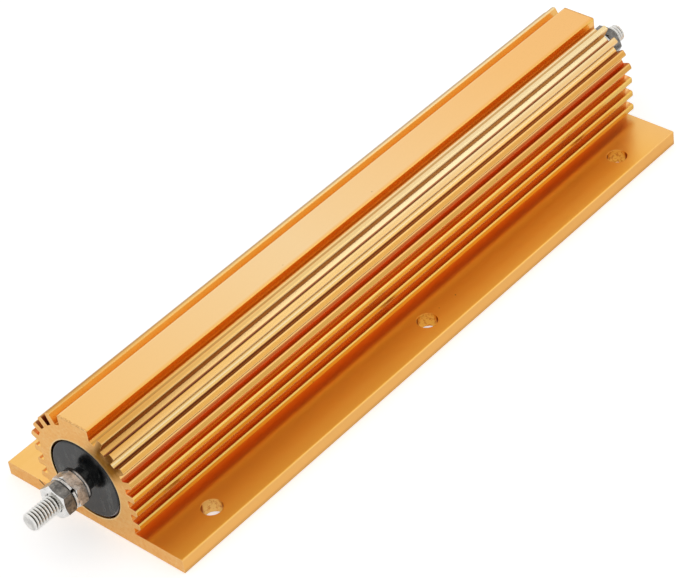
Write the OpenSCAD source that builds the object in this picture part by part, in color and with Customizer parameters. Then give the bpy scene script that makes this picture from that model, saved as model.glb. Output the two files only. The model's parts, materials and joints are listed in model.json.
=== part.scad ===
// Aluminium housed wire-wound power resistor.
// A finned extrusion lies on its mounting plate. A wound ceramic core is potted in its bore,
// and a threaded terminal with two nuts comes out of a moulded disc at each end.
// Frame: X along the extrusion, Y across the plate, Z up. The origin is the middle of the
// plate's underside. "Front" is the -X end and "rear" is the +X end.

/* [Housing] */
// Length of the finned extrusion
body_l = 155; // [100:1:220]
// Width of the mounting plate
plate_w = 47.5; // [42:0.5:70]
// Thickness of the mounting plate
plate_t = 3.3; // [2.4:0.1:5]
// Diameter of the bore that holds the core
bore_d = 18.2; // [14:0.1:20]
// Metal left under the bore
floor_t = 2.2; // [1.6:0.1:4]
// Wall of the round body outside the bore, where the crown fins stand
core_wall = 3.4; // [2.8:0.1:5]
// Wall beside the bore, where the body's flanks are flat
flank_wall = 2.35; // [1.6:0.05:2.8]
// Width of the flat ridge along the top
ridge_w = 7.9; // [5:0.1:9]
// Height of the ridge above the round body
ridge_rise = 2; // [1:0.1:4]
// Radius along the outer edges of the ridge and the plate
edge_r = 0.3; // [0.1:0.05:0.6]

/* [Fins] */
// Fins fanned round each side of the crown
crown_fins = 4; // [2:1:4]
// Angle of the lowest crown fin above the horizontal
crown_start = 22.2; // [18:0.1:26]
// Angle between crown fins
crown_pitch = 13.2; // [11:0.1:13.5]
// Height of the lowest crown fin above the round body
crown_fin_h = 1.8; // [1:0.05:3]
// Extra height of each crown fin over the one below it
crown_fin_step = 0.2; // [0:0.05:0.6]
// Thickness of a crown fin at its tip
crown_fin_t = 1.5; // [1:0.05:1.7]
// Height of the thin crown fin beside the ridge
edge_fin_h = 2.7; // [1:0.05:3.2]
// Thickness of the thin crown fin beside the ridge
edge_fin_t = 1.3; // [0.9:0.05:1.5]
// Straight fins on each flank
side_fins = 3; // [1:1:3]
// Height of the lowest side fin's middle above the plate
side_fin_z = 2.55; // [2.2:0.05:4]
// Reach of a side fin beyond the flat flank
side_fin_h = 1.85; // [1:0.05:3]
// Thickness of a side fin at its tip
side_fin_t = 1.5; // [1:0.05:2]
// Radius of the two corners of every fin's tip
fin_corner_r = 0.4; // [0.1:0.05:0.45]
// How much thicker each fin is at its root than at its tip
fin_taper = 0.35; // [0:0.05:0.6]

/* [Mounting holes] */
// Diameter of a mounting hole
hole_d = 4.4; // [3.2:0.1:6]
// Holes along each edge of the plate
hole_rows = 3; // [2:1:4]
// Distance from the extrusion's end to the first hole
hole_inset = 13.5; // [8:0.5:25]
// Distance from the plate's edge to the holes
hole_edge = 5.1; // [4:0.05:5.5]

/* [End discs] */
// Thickness of the moulded disc
disc_t = 2.4; // [1.5:0.1:4]
// Gap between the disc's rim and the bore
disc_gap = 0.35; // [0.1:0.05:0.8]
// Radius round the disc's outer edge
disc_edge_r = 0.4; // [0.1:0.05:0.8]
// Height of the boss that carries the front terminal's hardware
front_boss_h = 1.8; // [0.6:0.1:4]
// Height of the boss that carries the rear terminal's hardware
rear_boss_h = 3; // [0.6:0.1:4]
// Wall of the boss round the stud
boss_wall = 0.45; // [0.4:0.05:0.8]

/* [Terminals] */
// Diameter of the threaded stud
stud_d = 4; // [3:0.1:5]
// Length of bare thread beyond the outer nut at the front end
front_free = 6.3; // [2:0.1:12]
// Length of bare thread beyond the outer nut at the rear end
rear_free = 3.5; // [2:0.1:12]
// Length of the chamfer on the stud's tip
stud_tip = 0.4; // [0.2:0.05:0.8]
// Length of the groove that the thread leaves where it comes out of the outer nut
groove_l = 0.7; // [0.6:0.05:1]
// Depth of that groove
groove_depth = 0.35; // [0.2:0.05:0.5]
// How far the groove shows beyond the outer nut
groove_shown = 0.15; // [0.1:0.01:0.3]
// Width of a nut across its flats
nut_af = 6.8; // [6.5:0.1:9]
// Thickness of a nut
nut_t = 2.7; // [2:0.1:4]
// Width of the bevel round the mouth of a nut's thread
mouth_w = 0.25; // [0.1:0.05:0.4]
// Diameter of the flat washer
washer_d = 7.2; // [6.4:0.1:9]
// Thickness of the flat washer
washer_t = 0.6; // [0.4:0.05:1.2]
// Diameter of the split lock washer
lock_d = 7.1; // [6.4:0.1:9]
// Thickness of the split lock washer
lock_t = 0.5; // [0.4:0.05:1.2]
// Width of the lock washer's split
lock_split = 0.7; // [0.3:0.05:1.5]

/* [Core] */
// Height of the core's middle above the bore's middle, as it set in the filling
core_rise = 1.1; // [0:0.05:1.4]
// Angle at which the core and its terminals set, higher at the rear end
core_tilt = 0.4; // [0:0.05:0.5]
// Diameter of the ceramic core
core_d = 8.6; // [6:0.1:10]
// Thickness of the layer of resistance wire
wire_t = 0.5; // [0.3:0.05:0.8]
// Turns of wire that show as ribs round the winding
wire_turns = 24; // [8:1:36]
// Wall of the metal cap pressed on each end of the core
cap_wall = 0.7; // [0.5:0.05:1.2]
// Depth to which a cap grips the core
cap_grip = 7; // [4:0.5:12]
// Distance from the extrusion's end to the cap's end wall
cap_inset = 8; // [6:0.5:15]
// Thickness of the stud's welded foot
foot_t = 1.2; // [0.8:0.1:2]
// Diameter of the stud's welded foot
foot_d = 7.6; // [6:0.1:8.5]

/* [Fits] */
// Gap all round between parts that slide or screw together
fit_gap = 0.05; // [0.02:0.01:0.15]
// Gap all round between a washer and the stud
washer_gap = 0.2; // [0.1:0.05:0.4]

/* [Hidden] */
$fn = 64;
eps = 0.01;
past = 0.2;

FRONT = -1;
REAR = 1;
GOLD = "#e8a040";
STEEL = "#b9bab5";
BLACK = "#33363a";

bore_z = floor_t + bore_d/2;
core_z = bore_z + core_rise;
body_r = bore_d/2 + core_wall;
waist_w = bore_d + 2*flank_wall;
body_h = bore_z + body_r + ridge_rise;
fin_root = bore_d/2 + flank_wall/2;
crown_reach = body_r + crown_fin_h;
lowest_crown_z = bore_z + (crown_reach - crown_fin_t/2)*sin(crown_start);
lowest_side_z = plate_t + side_fin_z;
side_fin_pitch = (lowest_crown_z - lowest_side_z)/side_fins;
hole_y = plate_w/2 - hole_edge;
hole_pitch = (body_l - 2*hole_inset)/(hole_rows - 1);

// Places along a terminal's hardware, measured outwards from its boss
clamp_nut_x = washer_t;
lock_x = clamp_nut_x + nut_t;
terminal_nut_x = lock_x + lock_t;
stack_l = terminal_nut_x + nut_t;

function boss_h(end) = end == FRONT ? front_boss_h : rear_boss_h;

// Nut corners are cut by a 30 degree cone that starts inside the flats
nut_face_d = 0.95*nut_af;
nut_corner_d = nut_af/cos(30);
nut_chamfer = (nut_corner_d - nut_face_d)/2*tan(30);

cap_x = body_l/2 - cap_inset;
core_end_x = cap_x - cap_wall;
cap_rim_x = core_end_x - cap_grip;
winding_l = 2*cap_rim_x;
winding_d = core_d + 2*fit_gap + 2*wire_t;
cap_d = core_d + 2*fit_gap + 2*cap_wall;
fill_l = body_l - 2*disc_t;

// Angles of the nuts' corners and the splits, seen along X, as they happened to be tightened
FRONT_CLAMP_ANGLE = 26;
FRONT_TERMINAL_ANGLE = 20;
FRONT_SPLIT_ANGLE = 139;
REAR_CLAMP_ANGLE = 8;
REAR_TERMINAL_ANGLE = 60;
REAR_SPLIT_ANGLE = 75;

// ---- Housing ----

// Rectangle on the Y axis of its section with its two upper corners rounded
module crowned_bar(w, h) {
    translate([-w/2, 0]) square([w, h - edge_r]);
    translate([-w/2 + edge_r, 0]) square([w - 2*edge_r, h]);
    for (side = [-1, 1])
        translate([side*(w/2 - edge_r), h - edge_r]) circle(edge_r);
}

// Tapered fin along +X of the section, from inside the body's wall to a tip at `reach`
// that is flat between its two round corners
module fin(reach, tip_t) {
    half_t = tip_t/2;
    root_half_t = half_t + fin_taper/2;
    corner_x = reach - fin_corner_r;
    corner_y = half_t - fin_corner_r;
    polygon([[fin_root, -root_half_t], [corner_x, -half_t], [reach, -corner_y],
             [reach, corner_y], [corner_x, half_t], [fin_root, root_half_t]]);
    for (side = [-1, 1])
        translate([corner_x, side*corner_y]) circle(fin_corner_r);
}

module crown_fan() {
    translate([0, bore_z])
        for (i = [0:crown_fins - 1])
            rotate(crown_start + i*crown_pitch)
                if (i == crown_fins - 1)
                    fin(body_r + edge_fin_h, edge_fin_t);
                else
                    fin(crown_reach + i*crown_fin_step, crown_fin_t);
}

module flank_comb() {
    for (i = [0:side_fins - 1])
        translate([0, lowest_side_z + i*side_fin_pitch])
            fin(waist_w/2 + side_fin_h, side_fin_t);
}

// Round body whose flanks are cut flat and run straight down to the plate
module round_body() {
    intersection() {
        union() {
            translate([0, bore_z]) circle(body_r);
            translate([-body_r, 0]) square([2*body_r, bore_z]);
        }
        translate([-waist_w/2, 0]) square([waist_w, body_h]);
    }
}

module housing_section() {
    difference() {
        union() {
            crowned_bar(plate_w, plate_t);
            round_body();
            translate([0, bore_z]) crowned_bar(ridge_w, body_h - bore_z);
            for (side = [0, 1])
                mirror([side, 0]) {
                    crown_fan();
                    flank_comb();
                }
        }
        translate([0, bore_z]) circle(bore_d/2);
    }
}

module housing() {
    color(GOLD)
        difference() {
            translate([-body_l/2, 0, 0])
                rotate([90, 0, 90]) linear_extrude(body_l) housing_section();
            for (row = [0:hole_rows - 1], side = [-1, 1])
                translate([-body_l/2 + hole_inset + row*hole_pitch, side*hole_y, -eps])
                    cylinder(d = hole_d, h = plate_t + 2*eps);
        }
}

// ---- Placing along the bore ----

module on_bore_axis() {
    translate([0, 0, bore_z]) children();
}

module on_core_axis() {
    translate([0, 0, core_z]) rotate([0, -core_tilt, 0]) children();
}

// Lays a child that stands on +Z along an axis, from `x` outwards at one end
module at_end(end, x, angle = 0) {
    mirror([end == FRONT ? 1 : 0, 0, 0])
        translate([x, 0, 0]) rotate([0, 90, 0]) rotate(angle + 90) children();
}

// Lays a piece of terminal hardware on the core's axis, `x` beyond its boss
module on_boss(end, x, angle = 0) {
    on_core_axis() at_end(end, body_l/2 + boss_h(end) + x, angle) children();
}

// Round bar centred on the middle of an axis
module long_bar(d, l) {
    translate([-l/2, 0, 0]) rotate([0, 90, 0]) cylinder(d = d, h = l);
}

module ring(d_out, d_in, h) {
    difference() {
        cylinder(d = d_out, h = h);
        translate([0, 0, -eps]) cylinder(d = d_in, h = h + 2*eps);
    }
}

// ---- Terminal hardware ----

module disc_section() {
    square([bore_d/2 - disc_gap, disc_t - disc_edge_r]);
    square([bore_d/2 - disc_gap - disc_edge_r, disc_t]);
    translate([bore_d/2 - disc_gap - disc_edge_r, disc_t - disc_edge_r]) circle(disc_edge_r);
}

module end_disc(end) {
    color(BLACK)
        difference() {
            union() {
                on_bore_axis() at_end(end, body_l/2 - disc_t) rotate_extrude() disc_section();
                on_core_axis() at_end(end, (body_l - disc_t)/2)
                    cylinder(d = stud_d + 2*fit_gap + 2*boss_wall, h = disc_t/2 + boss_h(end));
            }
            on_core_axis() at_end(end, body_l/2 - disc_t - past)
                cylinder(d = stud_d + 2*fit_gap, h = disc_t + boss_h(end) + 2*past);
        }
}

module terminal_stud(end) {
    nut_face_l = cap_inset + boss_h(end) + stack_l;
    thread_x = nut_face_l + groove_shown;
    tip_x = nut_face_l + (end == FRONT ? front_free : rear_free) - stud_tip;
    color(STEEL)
        on_core_axis() at_end(end, cap_x) {
            cylinder(d = foot_d, h = foot_t);
            cylinder(d = stud_d, h = thread_x - groove_l);
            cylinder(d = stud_d - 2*groove_depth, h = tip_x);
            translate([0, 0, thread_x]) cylinder(d = stud_d, h = tip_x - thread_x);
            translate([0, 0, tip_x])
                cylinder(d1 = stud_d, d2 = stud_d - 2*stud_tip, h = stud_tip);
        }
}

// Turned blank whose two cones cut the corners of the hexagon
module turned_blank() {
    rim_r = nut_corner_d/2 + eps;
    rotate_extrude()
        polygon([[0, 0], [nut_face_d/2, 0], [rim_r, nut_chamfer],
                 [rim_r, nut_t - nut_chamfer], [nut_face_d/2, nut_t], [0, nut_t]]);
}

// Cone that opens the mouth of the thread
module nut_mouth() {
    bore = stud_d + 2*fit_gap;
    translate([0, 0, -eps])
        cylinder(d1 = bore + 2*mouth_w + 2*eps, d2 = bore, h = mouth_w + eps);
}

module hex_nut(end, x, angle) {
    color(STEEL)
        on_boss(end, x, angle)
            difference() {
                intersection() {
                    cylinder(d = nut_corner_d, h = nut_t, $fn = 6);
                    turned_blank();
                }
                translate([0, 0, -eps])
                    cylinder(d = stud_d + 2*fit_gap, h = nut_t + 2*eps);
                for (face = [0, 1])
                    translate([0, 0, face*nut_t]) mirror([0, 0, face]) nut_mouth();
            }
}

module seat_washer(end) {
    color(STEEL)
        on_boss(end, 0) ring(washer_d, stud_d + 2*washer_gap, washer_t);
}

module lock_washer(end, angle) {
    color(STEEL)
        on_boss(end, lock_x, angle)
            difference() {
                ring(lock_d, stud_d + 2*washer_gap, lock_t);
                translate([0, -lock_split/2, -eps]) cube([lock_d, lock_split, lock_t + 2*eps]);
            }
}

// ---- Core and filling ----

module core_cap(end) {
    color(STEEL)
        on_core_axis() at_end(end, cap_rim_x)
            difference() {
                cylinder(d = cap_d, h = cap_grip + cap_wall);
                translate([0, 0, -eps]) cylinder(d = core_d + 2*fit_gap, h = cap_grip + eps);
            }
}

module ceramic_core() {
    color("white") on_core_axis() long_bar(core_d, 2*core_end_x);
}

// One layer of wire: a sleeve with a rib for each group of turns
module winding_section() {
    pitch = winding_l/wire_turns;
    bore_r = core_d/2 + fit_gap;
    rib_root_r = winding_d/2 - wire_t/2;
    translate([bore_r, 0]) square([wire_t/2, winding_l]);
    for (i = [0:wire_turns - 1])
        translate([rib_root_r - eps, i*pitch])
            polygon([[0, 0], [eps, 0], [wire_t/2 + eps, pitch/4],
                     [wire_t/2 + eps, pitch*3/4], [eps, pitch], [0, pitch]]);
}

module resistance_winding() {
    color("#8a7f6f")
        on_core_axis() translate([-winding_l/2, 0, 0])
            rotate([0, 90, 0]) rotate_extrude() winding_section();
}

module filling_compound() {
    color("#b8a890")
        difference() {
            on_bore_axis() long_bar(bore_d - 2*fit_gap, fill_l);
            on_core_axis() {
                long_bar(winding_d, winding_l + 2*eps);
                for (end = [FRONT, REAR]) {
                    at_end(end, cap_rim_x) cylinder(d = cap_d, h = cap_grip + cap_wall);
                    at_end(end, cap_x - eps) cylinder(d = foot_d, h = foot_t + eps);
                    at_end(end, cap_x) cylinder(d = stud_d, h = cap_inset);
                }
            }
        }
}

housing();
filling_compound();
ceramic_core();
resistance_winding();
core_cap(FRONT);  // front_core_cap
core_cap(REAR);  // rear_core_cap
end_disc(FRONT);  // front_end_disc
end_disc(REAR);  // rear_end_disc
terminal_stud(FRONT);  // front_terminal_stud
terminal_stud(REAR);  // rear_terminal_stud
seat_washer(FRONT);  // front_seat_washer
seat_washer(REAR);  // rear_seat_washer
hex_nut(FRONT, clamp_nut_x, FRONT_CLAMP_ANGLE);  // front_clamp_nut
hex_nut(REAR, clamp_nut_x, REAR_CLAMP_ANGLE);  // rear_clamp_nut
lock_washer(FRONT, FRONT_SPLIT_ANGLE);  // front_lock_washer
lock_washer(REAR, REAR_SPLIT_ANGLE);  // rear_lock_washer
hex_nut(FRONT, terminal_nut_x, FRONT_TERMINAL_ANGLE);  // front_terminal_nut
hex_nut(REAR, terminal_nut_x, REAR_TERMINAL_ANGLE);  // rear_terminal_nut
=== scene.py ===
import math

import bmesh
import bpy
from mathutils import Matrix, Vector
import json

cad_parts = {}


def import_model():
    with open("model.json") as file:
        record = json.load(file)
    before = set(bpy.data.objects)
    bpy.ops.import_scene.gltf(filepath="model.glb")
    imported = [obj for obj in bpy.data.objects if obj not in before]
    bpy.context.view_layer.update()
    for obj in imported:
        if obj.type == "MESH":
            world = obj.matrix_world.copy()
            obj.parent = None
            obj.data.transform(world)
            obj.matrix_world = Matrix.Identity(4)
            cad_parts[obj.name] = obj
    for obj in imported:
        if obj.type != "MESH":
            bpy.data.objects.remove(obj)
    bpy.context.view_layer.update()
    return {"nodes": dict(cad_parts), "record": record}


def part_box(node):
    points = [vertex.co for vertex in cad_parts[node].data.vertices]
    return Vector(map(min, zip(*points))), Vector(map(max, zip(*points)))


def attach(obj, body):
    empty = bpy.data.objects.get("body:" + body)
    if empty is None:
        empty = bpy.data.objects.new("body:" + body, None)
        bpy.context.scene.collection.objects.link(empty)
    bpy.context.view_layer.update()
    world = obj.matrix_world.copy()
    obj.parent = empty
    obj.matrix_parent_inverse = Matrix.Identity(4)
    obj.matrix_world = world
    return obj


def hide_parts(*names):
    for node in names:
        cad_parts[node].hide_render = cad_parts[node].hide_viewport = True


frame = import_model()
MM = 0.001
NODES = frame["nodes"]

# Sizes of the housing in millimetres, as its masks measure them
HALF_L, HALF_W, TOP_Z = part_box("housing")[1]/MM
AXIS_Z = 0.5*(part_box("filling_compound")[0][2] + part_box("filling_compound")[1][2])/MM
# The frame has no sizes of the section, so these repeat part.scad
BORE_R = 9.1
PLATE_T = 3.3
RIDGE_HALF = 3.95
WAIST_HALF = 11.45
FLANK_TIP = 13.3
FIN_START = math.radians(22.2)
FIN_PITCH = math.radians(13.2)
# Radius of the crown's tips: it grows with the angle, by so much a radian, and the fin by the
# ridge starts from the larger one
TIP_GROWTH = 0.87
TIP_R = 13.96
EDGE_TIP_R = 14.26

# ---------------------------------------------------------------- node helpers


class Nodes:
    """Short calls for building one material's node tree. A mask is 1 where it applies, else 0."""

    def __init__(self, name):
        self.mat = bpy.data.materials.new(name)
        self.mat.use_nodes = True
        self.tree = self.mat.node_tree
        self.tree.nodes.clear()
        self.out = self.tree.nodes.new("ShaderNodeOutputMaterial")
        self.bsdf = self.tree.nodes.new("ShaderNodeBsdfPrincipled")
        self.link(self.bsdf.outputs["BSDF"], self.out.inputs["Surface"])

    def link(self, a, b):
        self.tree.links.new(a, b)

    def feed(self, socket, value):
        if isinstance(value, bpy.types.NodeSocket):
            self.link(value, socket)
        else:
            socket.default_value = value

    def shader(self, **sockets):
        """Feeds the shader. Base_Color stands for the socket "Base Color"."""
        for name, value in sockets.items():
            self.feed(self.bsdf.inputs[name.replace("_", " ")], value)

    # where a point is

    def coords(self, scale=(1, 1, 1), turn=0.0, shift=(0, 0, 0)):
        """Object coordinates in metres, turned about X, for a texture."""
        tc = self.tree.nodes.new("ShaderNodeTexCoord")
        mp = self.tree.nodes.new("ShaderNodeMapping")
        mp.inputs["Scale"].default_value = scale
        mp.inputs["Rotation"].default_value = (turn, 0, 0)
        mp.inputs["Location"].default_value = shift
        self.link(tc.outputs["Object"], mp.inputs["Vector"])
        return mp.outputs["Vector"]

    def split(self, kind):
        """X, Y and Z of a texture coordinate."""
        tc = self.tree.nodes.new("ShaderNodeTexCoord")
        sp = self.tree.nodes.new("ShaderNodeSeparateXYZ")
        self.link(tc.outputs[kind], sp.inputs["Vector"])
        return sp.outputs[:3]

    def place(self):
        """X, Y and Z of the point in millimetres."""
        return [self.times(c, 1/MM) for c in self.split("Object")]

    def attribute(self, name):
        a = self.tree.nodes.new("ShaderNodeAttribute")
        a.attribute_name = name
        return a.outputs["Fac"]

    # textures

    def noise(self, vector, scale, detail, rough=0.55, distortion=0.0):
        n = self.tree.nodes.new("ShaderNodeTexNoise")
        self.link(vector, n.inputs["Vector"])
        n.inputs["Scale"].default_value = scale
        n.inputs["Detail"].default_value = detail
        n.inputs["Roughness"].default_value = rough
        n.inputs["Distortion"].default_value = distortion
        return n.outputs["Fac"]

    def spots(self, vector, scale):
        n = self.tree.nodes.new("ShaderNodeTexVoronoi")
        self.link(vector, n.inputs["Vector"])
        n.inputs["Scale"].default_value = scale
        return n.outputs["Distance"]

    # arithmetic and masks

    def calc(self, op, a, b=0.0):
        n = self.tree.nodes.new("ShaderNodeMath")
        n.operation = op
        self.feed(n.inputs[0], a)
        self.feed(n.inputs[1], b)
        return n.outputs["Value"]

    def plus(self, a, b):
        return self.calc("ADD", a, b)

    def less(self, a, b):
        return self.calc("SUBTRACT", a, b)

    def times(self, first, *others):
        for other in others:
            first = self.calc("MULTIPLY", first, other)
        return first

    def over(self, a, b):
        return self.calc("DIVIDE", a, b)

    def size(self, value):
        return self.calc("ABSOLUTE", value)

    def hypot(self, a, b):
        return self.calc("SQRT", self.plus(self.times(a, a), self.times(b, b)))

    def either(self, a, b):
        return self.calc("MAXIMUM", a, b)

    def unless(self, mask):
        return self.less(1.0, mask)

    def choose(self, mask, chosen, other):
        """The first value where the mask is 1, and the other where it is 0."""
        return self.plus(self.times(mask, chosen), self.times(self.unless(mask), other))

    def span(self, value, lo, hi, to_lo=0.0, to_hi=1.0):
        """Goes from to_lo at lo to to_hi at hi, and stays at the nearer of them outside."""
        n = self.tree.nodes.new("ShaderNodeMapRange")
        self.feed(n.inputs["Value"], value)
        for key, v in (("From Min", lo), ("From Max", hi), ("To Min", to_lo), ("To Max", to_hi)):
            n.inputs[key].default_value = v
        return n.outputs["Result"]

    def band(self, value, start, full, fading, end):
        """Rises from 0 at start to 1 at full, and falls from 1 at fading to 0 at end."""
        return self.times(self.span(value, start, full), self.span(value, end, fading))

    # colours

    def steps(self, fac, *stops):
        """Colour ramp. Each stop is (position, RGB)."""
        r = self.tree.nodes.new("ShaderNodeValToRGB")
        ramp = r.color_ramp
        while len(ramp.elements) < len(stops):
            ramp.elements.new(1.0)
        for e, (pos, colour) in zip(ramp.elements, stops):
            e.position = pos
            e.color = (*colour, 1)
        self.feed(r.inputs["Fac"], fac)
        return r.outputs["Color"]

    def mix(self, fac, a, b, mode="MIX"):
        n = self.tree.nodes.new("ShaderNodeMix")
        n.data_type = "RGBA"
        n.blend_type = mode
        self.feed(n.inputs["Factor"], fac)
        for socket, v in ((n.inputs[6], a), (n.inputs[7], b)):
            self.feed(socket, v if isinstance(v, bpy.types.NodeSocket) else (*v, 1))
        return n.outputs[2]

    def paint(self, under, colour, mask, weight):
        """Lays a colour over another where the mask is, and so much of it."""
        return self.mix(self.times(mask, weight), under, colour)

    def tint(self, colour, by):
        return self.mix(1.0, colour, by, "MULTIPLY")

    # relief

    def bump(self, height, distance, strength, under=None):
        n = self.tree.nodes.new("ShaderNodeBump")
        n.inputs["Distance"].default_value = distance
        n.inputs["Strength"].default_value = strength
        self.link(height, n.inputs["Height"])
        if under is not None:
            self.link(under, n.inputs["Normal"])
        return n.outputs["Normal"]

    def rounded(self, radius):
        n = self.tree.nodes.new("ShaderNodeBevel")
        n.samples = 4
        n.inputs["Radius"].default_value = radius
        return n.outputs["Normal"]

    def edges(self, radius):
        """1 near an edge and 0 on flats: how far a rounded normal leaves the true one."""
        g = self.tree.nodes.new("ShaderNodeNewGeometry")
        d = self.tree.nodes.new("ShaderNodeVectorMath")
        d.operation = "DOT_PRODUCT"
        self.link(self.rounded(radius), d.inputs[0])
        self.link(g.outputs["Normal"], d.inputs[1])
        return self.span(self.unless(d.outputs["Value"]), 0.02, 0.3)


# ---------------------------------------------------------------- the housing's gold


class Place:
    """Which part of the housing a point is on, and which way it faces there."""

    def __init__(self, n):
        self.nx, self.ny, self.nz = n.split("Normal")
        self.x, self.y, self.z = n.place()
        self.out = n.size(self.y)
        self.up = n.less(self.z, AXIS_Z)
        self.reach = n.hypot(self.y, self.up)
        self.angle = n.calc("ARCTAN2", self.up, self.out)
        self.along = n.span(self.x, -HALF_L, HALF_L)
        self.back = n.span(self.y, -1.0, 1.0)
        # fins fan out in the crown, and lie level on the flanks below it
        self.crown = n.span(self.angle, 0.24, 0.27)
        self.flank = n.unless(self.crown)
        self.upper = n.span(self.angle, 0.60, 0.64)
        self.above_plate = n.span(self.z, PLATE_T + 0.1, PLATE_T + 0.3)
        self.in_plate = n.unless(self.above_plate)
        self.fins = n.times(n.span(self.out, RIDGE_HALF + 0.05, RIDGE_HALF + 0.25), self.above_plate)
        # depth below the fins' tips
        tips = n.plus(n.times(self.angle, TIP_GROWTH), n.span(self.angle, 0.95, 0.98, TIP_R, EDGE_TIP_R))
        self.depth = n.choose(self.crown, n.less(tips, self.reach), n.less(FLANK_TIP, self.out))
        self.slot = n.times(n.span(self.depth, 0.3, 1.2), self.fins)
        self.crest = n.times(n.span(self.depth, 0.4, 0.15), self.fins)
        # a fin's sides face across the radius in the crown, and up and down on the flanks
        outward = n.over(n.plus(n.times(self.ny, self.y), n.times(self.nz, self.up)), self.reach)
        self.fin_side = n.span(n.choose(self.crown, outward, n.size(self.ny)), 0.75, 0.45)
        self.open_slot = n.times(self.slot, n.unless(self.fin_side))
        self.lower_slot = n.times(self.slot, n.unless(self.upper))
        # distance round the crown from the middle of the nearest fin, upwards
        turn = n.over(n.less(self.angle, FIN_START), FIN_PITCH)
        self.away = n.times(n.less(turn, n.calc("ROUND", turn)), FIN_PITCH, self.reach)
        self.below = n.span(self.away, 0.05, -0.05)
        # the lower edge of a crown fin's tip, where a highlight is painted
        self.tip_foot = n.times(self.crest, n.span(self.away, -0.38, -0.50), self.crown,
                                n.span(self.angle, 0.72, 0.78))
        self.ridge_wall = n.times(n.span(n.size(self.ny), 0.7, 0.9), n.span(self.z, 21.5, 22.0),
                                  n.span(self.out, RIDGE_HALF + 0.25, RIDGE_HALF + 0.05))
        self.hole = n.times(self.in_plate, n.span(n.size(self.nz), 0.7, 0.4),
                            n.band(self.out, 14.5, 15.0, 22.0, 22.5),
                            n.span(n.size(self.x), HALF_L - 0.5, HALF_L - 1.0))
        self.end = n.times(n.span(n.size(self.nx), 0.85, 0.97), n.unless(self.hole))
        self.near_end = n.span(self.nx, -0.80, -0.95)


class Patterns:
    """The textures that more than one part of the housing wears."""

    def __init__(self, n):
        # drawn lines run along X, so X is stretched
        self.lines = n.noise(n.coords(scale=(5, 900, 900)), 1.0, 3, 0.6)
        self.broad = n.noise(n.coords(scale=(6, 300, 300), shift=(3, 1, 2)), 1.0, 2, 0.5)
        self.cloud = n.noise(n.coords(shift=(0.3, 0.1, 0)), 90, 4, 0.62)
        self.grain = n.noise(n.coords(), 5200, 2, 0.6)
        self.mottle = n.noise(n.coords(shift=(2, 4, 1)), 1300, 4, 0.7, 0.5)
        # saw marks on the cut ends
        self.saw = n.noise(n.coords(turn=0.5, scale=(300, 300, 4200)), 1.0, 2, 0.6)
        self.smear = n.noise(n.coords(turn=0.7, scale=(60, 130, 420)), 1.0, 3, 0.6)


def crown_gold(n, p, t):
    """The crown, with painted light: painted highlights on the crests and in the open upper slots, gold
    at the near end and cream behind, and painted shade on the lower fins, beside the ridge, on the fins'
    lower walls and in the middle of the lower tips.
    """
    shade = n.plus(n.times(t.lines, 0.25), n.times(t.cloud, 0.75))
    open_gold = n.steps(shade, (0.30, (0.83, 0.485, 0.135)), (0.52, (0.86, 0.52, 0.165)),
                        (0.72, (0.89, 0.555, 0.20)))
    # painted shade: the lower fins of the crown are painted deeper than those above them
    painted_shade_gold = n.steps(shade, (0.30, (0.72, 0.40, 0.075)), (0.52, (0.76, 0.43, 0.095)),
                       (0.72, (0.80, 0.46, 0.12)))
    gold = n.mix(n.times(p.fins, n.span(p.angle, 0.75, 0.35)), open_gold, painted_shade_gold)

    # painted highlight: the crests are painted paler, more so towards the far end
    highlight_ramp = n.steps(p.along, (0.02, (0.64, 0.31, 0.055)), (0.22, (0.77, 0.46, 0.14)),
                   (0.42, (0.79, 0.56, 0.24)), (0.68, (0.83, 0.68, 0.40)), (0.90, (0.87, 0.75, 0.45)))
    gold = n.paint(gold, (0.90, 0.60, 0.26), p.crest, 0.35)
    gold = n.paint(gold, highlight_ramp, p.crest, n.span(p.angle, 0.80, 0.90, 0.0, 0.9))
    # painted highlight along the foot of each upper tip
    gold = n.paint(gold, n.mix(p.along, (1.0, 0.60, 0.20), (1.0, 0.76, 0.42)), p.tip_foot, 0.9)
    # painted shade in the middle of the lower crown tips
    mid_tip_shade = n.times(n.span(n.size(p.away), 0.46, 0.34), p.crest, p.crown)
    gold = n.paint(gold, (0.68, 0.34, 0.06), mid_tip_shade, n.span(p.angle, 0.80, 0.74, 0.0, 0.8))

    # painted highlight in the open upper slots, made from the crest highlight's colours
    far_tint = n.mix(n.span(p.along, 0.2, 0.7), (0.92, 1.0, 1.35), (0.94, 0.97, 1.0))
    valley_highlight = n.mix(n.span(p.angle, 0.86, 0.80), n.tint(highlight_ramp, far_tint), (0.84, 0.67, 0.37))
    valley_highlight = n.paint(valley_highlight, (0.78, 0.50, 0.17), n.span(p.angle, 0.82, 0.80),
                     n.span(p.away, -1.20, -0.98))
    valley_highlight = n.mix(n.span(p.angle, 1.12, 1.16), valley_highlight, n.tint(highlight_ramp, (1.14, 1.14, 1.25)))
    gold = n.paint(gold, valley_highlight, n.times(p.open_slot, p.upper), 0.9)

    # painted shade in the slot beside the ridge
    ridge_slot_shade = n.band(p.out, RIDGE_HALF + 0.41, RIDGE_HALF + 0.53, RIDGE_HALF + 0.79, RIDGE_HALF + 0.97)
    gold = n.paint(gold, n.mix(p.along, (0.48, 0.25, 0.055), (0.60, 0.38, 0.12)),
                   n.times(ridge_slot_shade, p.slot), 0.85)
    # painted shade on the lower side walls of the upper fins
    lower_wall_shade = n.times(p.below, p.fin_side, n.span(p.depth, 0.5, 0.8), p.fins,
                         n.span(p.angle, 0.97, 1.0))
    gold = n.paint(gold, n.mix(p.along, (0.26, 0.055, 0.009), (0.66, 0.36, 0.05)), lower_wall_shade, 0.9)
    # a painted highlight in the lower slots of the crown
    glint = n.times(n.band(p.away, -1.45, -1.30, -0.9, -0.6), p.open_slot, p.crown, n.unless(p.upper))
    return n.paint(gold, (0.94, 0.64, 0.26), glint, 0.8)


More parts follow.
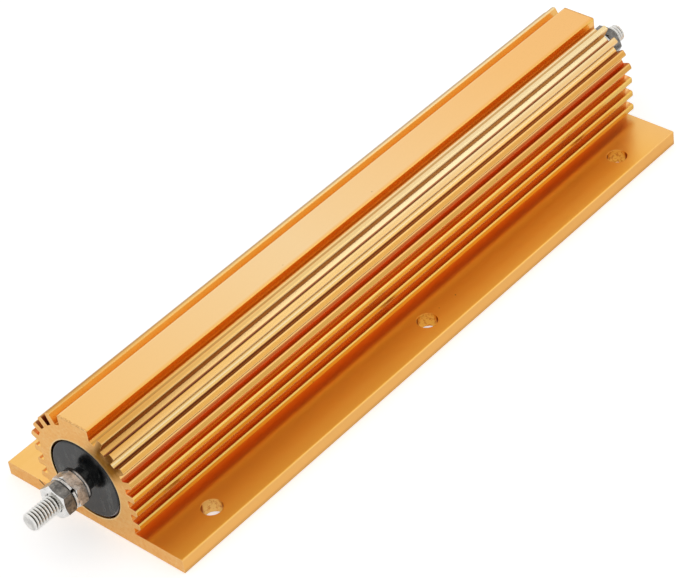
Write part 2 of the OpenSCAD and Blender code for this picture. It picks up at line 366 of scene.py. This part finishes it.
def flank_gold(n, p, gold):
    """The level fins, with painted light: their slots and tips painted in the colours of their
    reflections, and a painted dark red line of shade on top of each by its tip.
    """
    # painted reflection in the level slots: redder higher up, and yellower on the +Y side
    slot_gold = n.mix(n.span(p.z, 12.0, 12.8), (0.88, 0.54, 0.24), (0.98, 0.51, 0.22))
    slot_gold = n.mix(p.back, slot_gold, (0.92, 0.56, 0.15))
    gold = n.paint(gold, slot_gold, n.times(p.lower_slot, p.flank), 0.9)
    # painted light on the level tips: painted shade at the near end and low down, paler higher up
    low_tip = n.mix(p.along, (0.70, 0.45, 0.11), (0.84, 0.53, 0.12))
    gold = n.paint(gold, n.mix(n.span(p.z, 10.5, 12.0), low_tip, (0.86, 0.59, 0.16)),
                   n.times(p.crest, p.flank), 0.85)
    # painted shade: a dark red line on top of each level fin by its tip, fading towards the far end
    line = n.band(p.out, FLANK_TIP - 1.02, FLANK_TIP - 0.85, FLANK_TIP - 0.44, FLANK_TIP - 0.26)
    line = n.times(line, n.span(p.nz, 0.5, 0.8), p.above_plate, p.flank)
    return n.paint(gold, (0.60, 0.13, 0.015), line, n.span(p.along, 0.1, 0.9, 0.85, 0.35))


def red_slots(n, p, gold):
    """The crown's lower slots, in painted shade: their floors painted red, and the upper wall of each fin
    painted darker.
    """
    # painted shade: the floors of the lower slots painted red
    floor_shade = n.either(n.span(p.away, -1.35, -1.7, 0.15, 1.0), n.span(p.away, 0.9, 1.2))
    gold = n.paint(gold, (0.62, 0.14, 0.032), n.times(p.lower_slot, p.crown, floor_shade), 0.9)
    # painted shade on the upper wall of each fin: red low in the crown, near black higher up
    reached = n.plus(p.away, n.span(p.angle, 0.76, 0.86, 0.12, 0.0))
    corner = n.times(n.span(reached, 1.22, 1.08), n.unless(p.below), n.span(p.depth, 0.06, 0.26),
                     p.fins, p.crown, n.span(p.angle, 1.02, 0.98))
    red = n.mix(n.span(p.depth, 0.6, 1.3), (0.48, 0.10, 0.012), (0.74, 0.17, 0.045))
    dark = n.mix(p.along, (0.16, 0.020, 0.004), (0.36, 0.10, 0.012))
    return n.paint(gold, n.mix(n.span(p.angle, 0.52, 0.60), red, dark), corner, 0.9)


def ridge_gold(n, p, gold):
    """The ridge, with painted light: its top is painted deeper along one edge and paler along the other,
    and its walls are painted darker towards their foot.
    """
    # painted reflection: the top's colour changes along its length, deeper at the -Y edge and paler at
    # the +Y edge
    top = n.steps(p.along, (0.0, (0.835, 0.50, 0.18)), (0.40, (0.85, 0.60, 0.31)),
                  (0.85, (0.88, 0.535, 0.205)))
    top = n.mix(n.span(p.y, -3.1, -3.8, 0.0, 0.8), top, (0.84, 0.44, 0.10))
    top = n.mix(n.span(p.y, 3.4, 3.8, 0.0, 0.8), top, (0.97, 0.72, 0.38))
    gold = n.mix(n.span(p.z, TOP_Z - 0.6, TOP_Z - 0.2), gold, top)
    # painted shade on the ridge's walls, darkest at their foot
    wall = n.steps(n.span(p.z, TOP_Z - 2.6, TOP_Z - 0.1), (0.18, (0.66, 0.29, 0.08)),
                   (0.38, (1.0, 0.57, 0.19)), (0.70, (1.0, 0.57, 0.18)), (0.86, (0.90, 0.55, 0.13)))
    return n.paint(gold, wall, p.ridge_wall, 0.9)


def plate_gold(n, p, gold):
    """The flanges, with a painted reflection: redder by the fins that they mirror, less so on the +Y
    side, and plain at the far end, where they reflect only the room; and their outer edges, painted
    darker towards the bottom as shade."""
    # painted reflection of the fins: the flange is redder the nearer it lies to them
    top = n.mix(n.span(p.out, 15.0, 22.5), n.mix(p.along, (0.92, 0.43, 0.075), (1.0, 0.53, 0.09)),
                n.mix(p.along, (0.80, 0.40, 0.045), (0.96, 0.51, 0.065)))
    top = n.mix(n.span(p.out, 14.8, 13.6), top, (1.0, 0.40, 0.07))
    by_waist = n.mix(p.along, (0.88, 0.37, 0.05), (1.0, 0.43, 0.045))
    top = n.mix(n.span(p.out, 13.7, 12.5), top, by_waist)
    top = n.mix(n.span(p.x, HALF_L - 17.5, HALF_L), top, (0.84, 0.49, 0.165))
    flange = n.times(p.in_plate, n.band(p.out, WAIST_HALF - 0.45, WAIST_HALF - 0.05, HALF_W - 0.25,
                                        HALF_W - 0.05))
    gold = n.paint(gold, top, flange, n.span(p.back, 0.0, 1.0, 0.85, 0.15))
    # painted shade: the outer edges are darker towards the bottom
    rim = n.mix(n.span(p.z, 0.9, 0.4), (0.95, 0.53, 0.155), (0.74, 0.42, 0.13))
    return n.paint(gold, rim, n.times(p.in_plate, n.span(n.size(p.ny), 0.6, 0.9)), 0.8)


def hole_gold(n, p, t, gold):
    """The walls of the mounting holes: mottled, with painted shade as a dark mark on two sides."""
    wall = n.mix(n.span(p.x, -50.0, -10.0), (1.0, 0.67, 0.22), (1.0, 0.56, 0.085))
    wall = n.mix(n.span(t.mottle, 0.51, 0.60), wall, n.tint(wall, (0.74, 0.48, 0.30)))
    # painted shade: a dark mark on two sides of each hole
    mark = n.times(n.span(n.size(n.less(p.nx, p.ny)), 1.14, 1.28), n.span(p.z, 0.8, 1.6))
    wall = n.paint(wall, (0.40, 0.05, 0.005), mark, 0.85)
    return n.paint(gold, wall, p.hole, 0.97)


def cut_gold(n, p, t):
    """The sawn ends, with a painted highlight ring round the bore. The near one has a brown painted
    shadow by the bore and a short dark dash in its +Y flange.
    """
    cut = n.steps(n.plus(n.times(t.saw, 0.5), n.times(t.smear, 0.5)), (0.33, (0.93, 0.50, 0.165)),
                  (0.5, (0.97, 0.555, 0.195)), (0.7, (1.0, 0.62, 0.235)))
    cut = n.mix(n.span(t.mottle, 0.54, 0.68, 0.0, 0.45), cut, (0.86, 0.42, 0.11))
    cut = n.mix(n.span(t.mottle, 0.50, 0.34, 0.0, 0.6), cut, (1.0, 0.70, 0.33))
    # a painted highlight ring round the bore
    cut = n.paint(cut, (1.0, 0.80, 0.46), n.span(p.reach, BORE_R + 0.32, BORE_R + 0.20), 0.7)

    # painted shadow of the terminal and its nuts, cast on the near end beside the bore
    ragged = n.span(n.noise(n.coords(shift=(4, 1, 2)), 480, 3, 0.6), 0.30, 0.52, 0.35, 1.0)
    stain_and_shadow = n.times(n.band(p.angle, 0.36, 0.62, 1.04, 1.14), n.span(p.reach, BORE_R + 0.3, BORE_R + 1.0),
                    p.near_end, n.span(p.y, -3.0, -4.0), ragged)
    brown = n.mix(n.span(p.reach, 10.8, 12.2), (0.62, 0.28, 0.03), (0.34, 0.13, 0.016))
    brown = n.mix(n.span(p.angle, 0.66, 0.50), brown, (0.66, 0.32, 0.05))
    cut = n.mix(stain_and_shadow, cut, brown)

    # the dark dash lies along a straight line, which would meet Y = 0 so far below the origin
    slope, drop = 0.557, 5.186
    from_line = n.size(n.plus(n.less(p.z, n.times(p.y, slope)), drop))
    dark_dash = n.times(n.span(from_line, 0.34, 0.18), p.near_end, n.band(p.y, 13.4, 13.7, 14.7, 15.0))
    return n.paint(cut, (0.14, 0.05, 0.012), dark_dash, 0.9)


def dirt_wear_and_edge_highlight(n, p, colour):
    """Dirt where the ridge is cut off, a few dark specks, and edges painted paler, as wear and as a
    painted highlight.
    """
    patches = n.span(n.noise(n.coords(shift=(1, 0, 5)), 2600, 2), 0.42, 0.60, 0.05, 0.6)
    cut_edge = n.times(n.span(p.z, TOP_Z - 0.4, TOP_Z - 0.2),
                       n.span(n.size(p.x), HALF_L - 0.45, HALF_L - 0.25))
    colour = n.paint(colour, (0.44, 0.21, 0.05), cut_edge, patches)
    speck = n.span(n.spots(n.coords(shift=(0.01, 0.02, 0.03)), 330), 0.03, 0.07, 1.0, 0.0)
    rare = n.span(n.noise(n.coords(shift=(1, 2, 3)), 130, 1), 0.62, 0.68)
    colour = n.paint(colour, (0.20, 0.07, 0.02), n.times(speck, rare), 0.75)
    patches = n.span(n.noise(n.coords(shift=(2, 0, 1)), 420, 3), 0.42, 0.62)
    # edges painted pale: partly wear and partly a painted highlight
    worn_and_lit_edge = n.times(n.edges(0.18*MM), patches, n.unless(p.slot))
    return n.paint(colour, (0.97, 0.80, 0.52), worn_and_lit_edge, 0.35)


def anodised():
    """Gold anodised aluminium, with painted light: painted highlights where it lies open, and painted
    shade, deep and red, down in the slots.
    """
    n = Nodes("anodised_gold")
    p = Place(n)
    t = Patterns(n)
    gold = crown_gold(n, p, t)
    gold = flank_gold(n, p, gold)
    gold = red_slots(n, p, gold)
    gold = ridge_gold(n, p, gold)
    gold = plate_gold(n, p, gold)
    # deeper towards the far end, least of all on the plate and not on the ridge's walls
    rearward = n.times(n.span(p.x, -30.0, 80.0), n.span(p.above_plate, 0.0, 1.0, 0.2, 0.6))
    gold = n.mix(n.times(rearward, n.unless(p.ridge_wall)), gold, n.tint(gold, (0.95, 0.84, 0.75)))
    gold = hole_gold(n, p, t, gold)
    colour = dirt_wear_and_edge_highlight(n, p, n.mix(p.end, gold, cut_gold(n, p, t)))

    rough = n.plus(n.span(t.broad, 0.3, 0.7, 0.17, 0.23), n.span(t.grain, 0.3, 0.7, -0.03, 0.04))
    matt = n.either(p.end, p.in_plate)
    relief = n.bump(t.lines, 0.04*MM, 0.12, n.rounded(0.2*MM))
    relief = n.bump(t.broad, 0.2*MM, 0.08, relief)
    relief = n.bump(n.times(t.saw, p.end), 0.08*MM, 0.5, relief)
    n.shader(Base_Color=colour, Roughness=n.plus(rough, n.times(matt, 0.13)),
             Normal=n.bump(t.grain, 0.03*MM, 0.25, relief),
             Specular_Tint=(0.62, 0.48, 0.40, 1), Coat_Weight=0.15, Coat_Roughness=0.22, Coat_IOR=1.6)
    # the foot of a tip is made partly non-metallic, so that its painted highlight shines although it
    # faces a dark slot
    n.shader(Metallic=n.span(p.tip_foot, 0.0, 1.0, 1.0, 0.6))
    return n.mat


# ---------------------------------------------------------------- the other materials


def inner_faces(kind):
    """How far from the middle of the part the inner faces of the front and rear nut lie, in mm."""
    return [min(abs(corner.x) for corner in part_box(end + kind))/MM for end in ("front", "rear")]


def shaded(colour, by):
    return tuple(min(1, c*by) for c in colour)


def plated(name, colour=(0.74, 0.72, 0.69), rough=0.2, grain=(900, 900, 900), flats=None, dull=0.0,
           feet=None, shade_width=0.25):
    """Plated steel. `flats` is the stained colour of a nut's sides, and `dull` how matt they are.
    `feet` is where the inner faces of the front and rear one lie; painted shade lies round a nut there,
    in the gap, and the last argument is how many millimetres wide it is."""
    n = Nodes(name)
    cloud = n.noise(n.coords(), 700, 3, 0.6)
    fine = n.noise(n.coords(scale=grain), 1.0, 3, 0.65)
    tone = n.steps(cloud, (0.3, shaded(colour, 0.82)), (0.55, colour), (0.75, shaded(colour, 1.1)))
    metallic = 1.0
    if flats:
        nx = n.split("Normal")[0]
        x = n.place()[0]
        blotch = n.noise(n.coords(shift=(0, 3, 1)), 330, 4, 0.7, 0.6)
        patch = n.noise(n.coords(shift=(1, 3, 4)), 1500, 3, 0.7)
        mark = n.plus(n.times(blotch, 0.6), n.times(patch, 0.4))
        stain_and_shadow = n.steps(mark, (0.38, shaded(flats, 0.40)), (0.5, flats), (0.64, shaded(flats, 1.9)))
        sides = n.span(n.size(nx), 0.45, 0.2)
        tone = n.mix(sides, tone, stain_and_shadow)
        metallic = n.span(sides, 0.0, 1.0, 1.0, 1.0 - dull)
        # painted shade darkens the chamfer that faces the housing
        inward = n.times(nx, n.calc("SIGN", x))
        gap_shade = n.times(n.span(inward, -0.12, -0.35), n.span(x, 10.0, -10.0, 0.25, 1.0))
        if feet:
            past = n.less(n.size(x), n.span(x, -10.0, 10.0, *feet))
            gap_shade = n.either(gap_shade, n.span(past, shade_width + 0.2, shade_width, 0.0, 0.9))
        tone = n.mix(gap_shade, tone, (0.03, 0.028, 0.024))
    # painted highlight along the edges, stronger on the nuts
    tone = n.paint(tone, (0.95, 0.94, 0.92), n.edges(0.12*MM), 0.6 if flats else 0.35)
    relief = n.bump(fine, 0.02*MM, 0.3, n.rounded(0.08*MM))
    n.shader(Base_Color=tone, Metallic=metallic, Normal=n.bump(cloud, 0.06*MM, 0.2, relief),
             Roughness=n.plus(n.span(cloud, 0.3, 0.7, rough - 0.05, rough + 0.08),
                              n.span(fine, 0.3, 0.7, -0.02, 0.05)))
    return n.mat


def seat_steel():
    """The washer under the inner nut: painted black as shade, but for a painted highlight line on one
    side.
    """
    n = Nodes("seat_washer_steel")
    x, y, z = n.place()
    cloud = n.noise(n.coords(), 900, 3, 0.6)
    bright = n.steps(cloud, (0.3, (0.72, 0.71, 0.69)), (0.6, (0.93, 0.92, 0.90)), (0.8, (1.0, 1.0, 0.98)))
    lo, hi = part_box("front_seat_washer")
    outer = max(abs(lo.x), abs(hi.x))/MM
    # painted highlight: a bright line on the washer's outer face, on its -Y side; painted shade elsewhere
    lit = n.times(n.span(n.size(x), outer - 0.34, outer - 0.26), n.span(y, 0.2, -1.0),
                  n.span(z, AXIS_Z - 0.8, AXIS_Z + 0.2))
    n.shader(Base_Color=n.mix(lit, (0.022, 0.021, 0.022), bright),
             Metallic=n.span(lit, 0.0, 1.0, 0.1, 0.3), Roughness=n.span(cloud, 0.3, 0.7, 0.22, 0.36),
             Normal=n.bump(cloud, 0.03*MM, 0.3, n.rounded(0.06*MM)))
    return n.mat


def threaded():
    """Bright thread: its crests shine, and painted shade darkens its roots, most on the upper side."""
    n = Nodes("terminal_thread")
    nx, _, nz = n.split("Normal")
    root = n.unless(n.span(n.attribute("crest"), 0.04, 0.36))
    cloud = n.noise(n.coords(), 1500, 3, 0.6)
    blotch = n.noise(n.coords(shift=(0, 2, 1)), 620, 3, 0.6)
    tone = n.steps(cloud, (0.3, (0.72, 0.71, 0.68)), (0.6, (0.86, 0.85, 0.82)),
                   (0.8, (0.95, 0.94, 0.92)))
    tone = n.paint(tone, (0.52, 0.51, 0.49), n.span(n.size(nx), 0.85, 0.97),
                   n.span(blotch, 0.45, 0.62, 0.1, 0.8))
    # painted shade in the roots of the thread, strongest on the upper side
    tone = n.paint(tone, (0.05, 0.042, 0.03), root, n.span(nz, -0.75, 0.15, 0.35, 1.0))
    n.shader(Base_Color=tone, Metallic=1.0, Roughness=n.span(cloud, 0.3, 0.7, 0.18, 0.30),
             Normal=n.bump(cloud, 0.03*MM, 0.3))
    return n.mat


def disc_plastic():
    """Black moulded plastic with paler streaks, and a painted highlight as a grey line low on its lip."""
    n = Nodes("disc_plastic")
    _, y, z = n.place()
    up = n.less(z, AXIS_Z)
    cloud = n.noise(n.coords(shift=(0, 1, 0)), 420, 4, 0.65, 0.4)
    fine = n.noise(n.coords(), 2600, 3, 0.6)
    streak = n.noise(n.coords(turn=-0.95, scale=(300, 900, 130), shift=(0, 1, 2)), 1.0, 4, 0.65)
    mark = n.plus(n.times(cloud, 0.4), n.times(streak, 0.6))
    tone = n.steps(mark, (0.38, (0.002, 0.0022, 0.003)), (0.52, (0.007, 0.008, 0.008)),
                   (0.66, (0.085, 0.089, 0.085)))
    # painted highlight: a grey line on the lower part of the lip
    lip_highlight = n.times(n.span(n.hypot(y, up), 8.46, 8.56), n.span(up, -2.0, -6.0))
    relief = n.bump(cloud, 0.10*MM, 0.16, n.rounded(0.2*MM))
    n.shader(Base_Color=n.paint(tone, (0.42, 0.42, 0.48), lip_highlight, 0.8), IOR=1.43,
             Roughness=n.span(mark, 0.35, 0.65, 0.12, 0.26), Normal=n.bump(fine, 0.02*MM, 0.4, relief))
    return n.mat


def plain_inner(name, dark, light, rough, scale=900, metallic=0.0):
    """A cloudy finish for what the housing hides."""
    n = Nodes(name)
    cloud = n.noise(n.coords(), scale, 4, 0.6)
    n.shader(Base_Color=n.steps(cloud, (0.3, dark), (0.7, light)), Metallic=metallic,
             Roughness=n.span(cloud, 0.3, 0.7, rough - 0.08, rough + 0.08),
             Normal=n.bump(cloud, 0.08*MM, 0.5))
    return n.mat


# The material of every node whose name ends this way
FINISHES = {
    "housing": anodised(),
    "terminal_stud": plated("terminal_steel"),
    "seat_washer": seat_steel(),
    "lock_washer": plated("lock_washer_steel", (0.90, 0.90, 0.88), flats=(0.93, 0.93, 0.91), dull=0.7),
    "terminal_nut": plated("outer_nut_steel", (0.88, 0.87, 0.85), flats=(0.19, 0.18, 0.165), dull=0.55,
                           feet=inner_faces("_terminal_nut")),
    "clamp_nut": plated("inner_nut_steel", (0.80, 0.79, 0.76), flats=(0.50, 0.46, 0.42), dull=0.7,
                        feet=inner_faces("_clamp_nut"), shade_width=0.1),
    "end_disc": disc_plastic(),
    "filling_compound": plain_inner("compound", (0.42, 0.36, 0.28), (0.62, 0.56, 0.47), 0.75),
    "ceramic_core": plain_inner("ceramic", (0.80, 0.78, 0.73), (0.93, 0.91, 0.87), 0.6, 1500),
    "resistance_winding": plain_inner("resistance_wire", (0.30, 0.27, 0.23), (0.50, 0.46, 0.41), 0.4,
                                      2200, 1.0),
    "core_cap": plated("cap_steel", (0.62, 0.61, 0.58), 0.3, grain=(6000, 900, 900)),
}


def wear(node, mat):
    o = NODES[node]
    if not o.data.materials:
        o.data.materials.append(None)
    for s in o.material_slots:
        s.link = "OBJECT"
        s.material = mat


for name in NODES:
    wear(name, next(mat for ending, mat in FINISHES.items() if name.endswith(ending)))

# ---------------------------------------------------------------- threaded terminals

THREAD = threaded()
PITCH = 0.7*MM
CREST_R = 2.0*MM
THREAD_DEPTH = 0.40*MM
# Shares of the pitch: from a crest's middle to the root, and how much of that is the flank
TO_ROOT = 0.40
FLANK_SHARE = 0.29
CHAMFER = 0.4*MM
TIP_FLAT_R = 0.8*MM
TIP_DISH = 0.04*MM
FOOT_R = 3.8*MM
FOOT_T = 1.2*MM
ROW_STEP = 0.05*MM
AROUND = 72
SHARP = math.radians(38)


def mount(name):
    return next(m for m in frame["record"]["mounts"] if m["name"] == name)


def crest_share(turn):
    """How near the crest a thread is: 1 along the crest, 0 along the root."""
    turn %= 1.0
    rise = min(turn, 1.0 - turn)
    return min(1.0, max(0.0, (TO_ROOT - rise)/FLANK_SHARE))


def stud_loops(bm, crest, centre, axis, tip, rings):
    """A loop of vertices for each ring (distance along the axis, radius). A ring without a radius
    is the thread's, and one of radius 0 is a single vertex."""
    side = axis.cross(Vector((0, 0, 1))).normalized()
    over = side.cross(axis)
    loops = []
    for s, radius in rings:
        if radius == 0.0:
            v = bm.verts.new(centre + axis*s)
            v[crest] = 1.0
            loops.append([v])
            continue
        loop = []
        for k in range(AROUND):
            a = 2*math.pi*k/AROUND
            share, r = 1.0, radius
            if radius is None:
                share = crest_share(s/PITCH - k/AROUND)
                r = min(CREST_R - THREAD_DEPTH*(1.0 - share), CREST_R - CHAMFER + max(0.0, tip - s))
            v = bm.verts.new(centre + axis*s + (side*math.cos(a) + over*math.sin(a))*r)
            v[crest] = max(share, 1.0 - (tip - s)/CHAMFER if tip - s < CHAMFER else 0.0)
            loop.append(v)
        loops.append(loop)
    return loops


def skin(bm, loops):
    """Faces from each loop to the next, with a fan where one is a single vertex."""
    for a, b in zip(loops, loops[1:]):
        for k in range(AROUND):
            j = (k + 1) % AROUND
            if len(a) == 1:
                bm.faces.new((a[0], b[k], b[j]))
            elif len(b) == 1:
                bm.faces.new((a[k], b[0], a[j]))
            else:
                bm.faces.new((a[k], b[k], b[j], a[j]))
    bmesh.ops.recalc_face_normals(bm, faces=bm.faces)


def stud(end):
    """The whole stud, with a rolled thread where the CAD has a plain cylinder."""
    pin = mount(end + "_stud_end")
    axis = Vector(pin["axis"]).normalized()
    centre = Vector(pin["pos_m"])
    tip = 0.5*pin["dims"]["length_mm"]*MM + CHAMFER
    lo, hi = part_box(end + "_terminal_stud")
    foot = ((lo.x if axis.x > 0 else hi.x) - centre.x)/axis.x
    # the thread starts unseen, inside the lock washer
    lo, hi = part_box(end + "_lock_washer")
    start = ((lo.x + hi.x)/2 - centre.x)/axis.x
    rows = int((tip - start)/ROW_STEP)
    rings = [(foot, 0.0), (foot, FOOT_R), (foot + FOOT_T, FOOT_R), (foot + FOOT_T, CREST_R),
             (start, CREST_R)]
    rings += [(start + (i + 1)*(tip - start)/(rows + 1), None) for i in range(rows)]
    rings += [(tip, CREST_R - CHAMFER), (tip, TIP_FLAT_R), (tip - TIP_DISH, 0.0)]
    bm = bmesh.new()
    crest = bm.verts.layers.float.new("crest")
    skin(bm, stud_loops(bm, crest, centre, axis, tip, rings))
    me = bpy.data.meshes.new(end + "_threaded_stud")
    bm.to_mesh(me)
    bm.free()
    me.materials.append(THREAD)
    me.shade_smooth()
    me.set_sharp_from_angle(angle=SHARP)
    o = bpy.data.objects.new(end + "_threaded_stud", me)
    bpy.context.scene.collection.objects.link(o)
    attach(o, "root")
    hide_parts(end + "_terminal_stud")


stud("front")
stud("rear")

# ---------------------------------------------------------------- stage and light

FLOOR_HALF = 6.0
FLOOR_DROP = 0.05*MM
# How bright the floor itself is to the camera, and in reflections of it
FLOOR_GLOW = 0.5
MIRRORED_GLOW = 0.34
# How bright the room is as light, and where it is seen
ROOM_LIGHT = 0.7
ROOM_SEEN = 1.0


def floor():
    me = bpy.data.meshes.new("floor")
    s = FLOOR_HALF
    me.from_pydata([(-s, -s, 0), (s, -s, 0), (s, s, 0), (-s, s, 0)], [], [(0, 1, 2, 3)])
    o = bpy.data.objects.new("floor", me)
    bpy.context.scene.collection.objects.link(o)
    o.location.z = -FLOOR_DROP
    n = Nodes("floor")
    n.shader(Base_Color=(0.82, 0.82, 0.82, 1), Roughness=0.9, Specular_IOR_Level=0.1)
    lp = n.tree.nodes.new("ShaderNodeLightPath")
    em = n.tree.nodes.new("ShaderNodeEmission")
    add = n.tree.nodes.new("ShaderNodeAddShader")
    mirrored = n.either(lp.outputs["Is Glossy Ray"], lp.outputs["Is Transmission Ray"])
    n.link(n.either(n.times(lp.outputs["Is Camera Ray"], FLOOR_GLOW), n.times(mirrored, MIRRORED_GLOW)),
           em.inputs["Strength"])
    n.link(n.bsdf.outputs["BSDF"], add.inputs[0])
    n.link(em.outputs["Emission"], add.inputs[1])
    n.link(add.outputs["Shader"], n.out.inputs["Surface"])
    me.materials.append(n.mat)


def world():
    """A white room, brighter to the camera and in reflections than as light."""
    w = bpy.data.worlds.new("studio")
    bpy.context.scene.world = w
    w.use_nodes = True
    t = w.node_tree
    t.nodes.clear()
    lp = t.nodes.new("ShaderNodeLightPath")
    seen = lp.outputs["Is Camera Ray"]
    for kind in ("Is Glossy Ray", "Is Transmission Ray"):
        either = t.nodes.new("ShaderNodeMath")
        either.operation = "MAXIMUM"
        t.links.new(seen, either.inputs[0])
        t.links.new(lp.outputs[kind], either.inputs[1])
        seen = either.outputs["Value"]
    mix = t.nodes.new("ShaderNodeMixShader")
    t.links.new(seen, mix.inputs["Fac"])
    for socket, strength in ((mix.inputs[1], ROOM_LIGHT), (mix.inputs[2], ROOM_SEEN)):
        light = t.nodes.new("ShaderNodeBackground")
        light.inputs["Color"].default_value = (1, 1, 1, 1)
        light.inputs["Strength"].default_value = strength
        t.links.new(light.outputs["Background"], socket)
    out = t.nodes.new("ShaderNodeOutputWorld")
    t.links.new(mix.outputs["Shader"], out.inputs["Surface"])


def softbox(name, toward, size, watts):
    """A lamp a metre from the part's middle, aimed at it."""
    d = bpy.data.lights.new(name, "AREA")
    d.shape = "RECTANGLE"
    d.size, d.size_y = size
    d.energy = watts
    o = bpy.data.objects.new(name, d)
    bpy.context.scene.collection.objects.link(o)
    aim = Vector((0, 0, 0.01))
    o.location = aim + Vector(toward).normalized()
    o.rotation_euler = (aim - o.location).to_track_quat("-Z", "Y").to_euler()


def camera():
    """The photograph's viewpoint."""
    d = bpy.data.cameras.new("camera")
    d.sensor_width = 36.0
    d.sensor_fit = "HORIZONTAL"
    d.lens = 141.31
    d.clip_start = 0.01
    d.clip_end = 50.0
    o = bpy.data.objects.new("camera", d)
    bpy.context.scene.collection.objects.link(o)
    o.location = (-0.29237, -0.30467, 0.35199)
    o.rotation_euler = tuple(math.radians(a) for a in (50.1498, 6.8130, -48.9905))
    bpy.context.scene.camera = o


floor()
world()
softbox("overhead", (0.45, 0.5, 0.8), (1.1, 1.1), 0.4)
softbox("key", (0.54, -0.40, 0.74), (0.34, 0.20), 0.15)
softbox("low_key", (0.54, -0.73, 0.42), (0.34, 0.12), 0.09)
camera()
bpy.context.scene.view_settings.view_transform = "Standard"

import json
